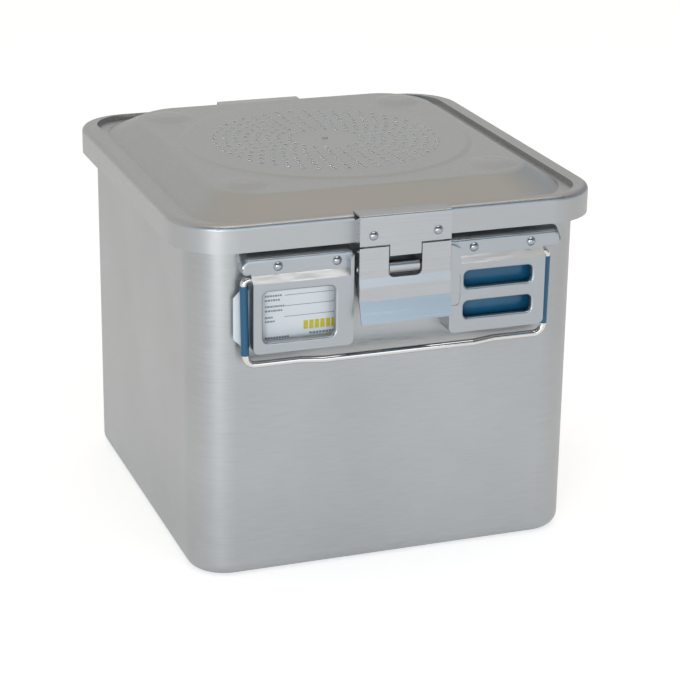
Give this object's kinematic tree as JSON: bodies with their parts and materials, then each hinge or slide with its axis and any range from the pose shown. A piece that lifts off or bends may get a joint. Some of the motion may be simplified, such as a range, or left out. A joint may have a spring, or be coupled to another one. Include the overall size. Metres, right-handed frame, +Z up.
{
  "type": "sterilization container",
  "caption": "Half-size aluminium sterilization container with a perforated lid, spring latches, wire handles and label holders on both ends",
  "frame": {"origin": "centre of the tub's underside, on the table", "axes": "+X along the front face to the right, +Y from front to rear, +Z up"},
  "size_m": [0.3014, 0.337, 0.268],
  "materials": {
    "aluminium_satin": "satin anodised, fine brushing",
    "steel_brushed": "satin",
    "steel_bright": "polished",
    "aluminium_plain": "mill finish",
    "silicone_blue": "satin",
    "silicone_grey": "matt",
    "label_blue": "gloss",
    "card_white": null,
    "filter_paper": "matt",
    "knob_grey": "matt"
  },
  "bodies": {
    "container": {"tub": "aluminium_satin", "front_card_holder": "aluminium_satin", "front_tag_holder": "aluminium_satin", "front_card_guide": "aluminium_plain", "front_tag_guide": "aluminium_plain", "front_plate_rivets": "steel_bright", "front_plate_spacers": "aluminium_plain", "front_latch_base": "steel_brushed", "front_base_rivets": "steel_bright", "front_latch_pin": "steel_bright", "front_latch_springs": "steel_bright", "rear_card_holder": "aluminium_satin", "rear_tag_holder": "aluminium_satin", "rear_card_guide": "aluminium_plain", "rear_tag_guide": "aluminium_plain", "rear_plate_rivets": "steel_bright", "rear_plate_spacers": "aluminium_plain", "rear_latch_base": "steel_brushed", "rear_base_rivets": "steel_bright", "rear_latch_pin": "steel_bright", "rear_latch_springs": "steel_bright", "front_tag": "label_blue"},
    "lid_body": {"lid": "aluminium_satin", "lid_gasket": "silicone_grey", "filter_post": "steel_bright", "front_catch": "steel_brushed", "front_catch_rivets": "steel_bright", "front_catch_spacers": "aluminium_plain", "rear_catch": "steel_brushed", "rear_catch_rivets": "steel_bright", "rear_catch_spacers": "aluminium_plain"},
    "front_lever_body": {"front_lever": "steel_brushed"},
    "front_handle_body": {"front_handle": "steel_bright", "front_handle_sleeves": "silicone_blue"},
    "rear_lever_body": {"rear_lever": "steel_brushed"},
    "rear_handle_body": {"rear_handle": "steel_bright", "rear_handle_sleeves": "silicone_blue"},
    "retainer_body": {"filter_retainer": "steel_brushed", "filter_sheet": "filter_paper"},
    "knob_body": {"retainer_knob": "knob_grey"},
    "card_body": {"front_card": "card_white"}
  },
  "joints": [
    {"name": "lid_lift", "type": "slide", "parent": "container", "child": "lid_body", "axis": [0, 0, 1], "range_m": [0, 0.12]},
    {"name": "front_lever_turn", "type": "hinge", "parent": "container", "child": "front_lever_body", "pos_m": [0, -0.1572, 0.2195], "axis": [-1, 0, 0], "range_deg": [0, 35], "stiffness_Nm_per_rad": 0.05, "springref_deg": -28.65},
    {"name": "front_handle_swing", "type": "hinge", "parent": "container", "child": "front_handle_body", "pos_m": [0, -0.1502, 0.2175], "axis": [-1, 0, 0], "range_deg": [0, 86]},
    {"name": "rear_lever_turn", "type": "hinge", "parent": "container", "child": "rear_lever_body", "pos_m": [0, 0.1572, 0.2195], "axis": [1, 0, 0], "range_deg": [0, 35], "stiffness_Nm_per_rad": 0.05, "springref_deg": -28.65},
    {"name": "rear_handle_swing", "type": "hinge", "parent": "container", "child": "rear_handle_body", "pos_m": [0, 0.1502, 0.2175], "axis": [1, 0, 0], "range_deg": [0, 86]},
    {"name": "retainer_drop", "type": "slide", "parent": "lid_body", "child": "retainer_body", "axis": [0, 0, -1], "range_m": [0, 0.05], "stiffness_N_per_m": 5, "springref_m": -0.6},
    {"name": "knob_turn", "type": "hinge", "parent": "retainer_body", "child": "knob_body", "pos_m": [0, 0, 0.2589], "axis": [0, 0, 1], "range_deg": [0, 90]},
    {"name": "card_slide", "type": "slide", "parent": "container", "child": "card_body", "axis": [-1, 0, 0], "range_m": [0, 0.07]}
  ]
}
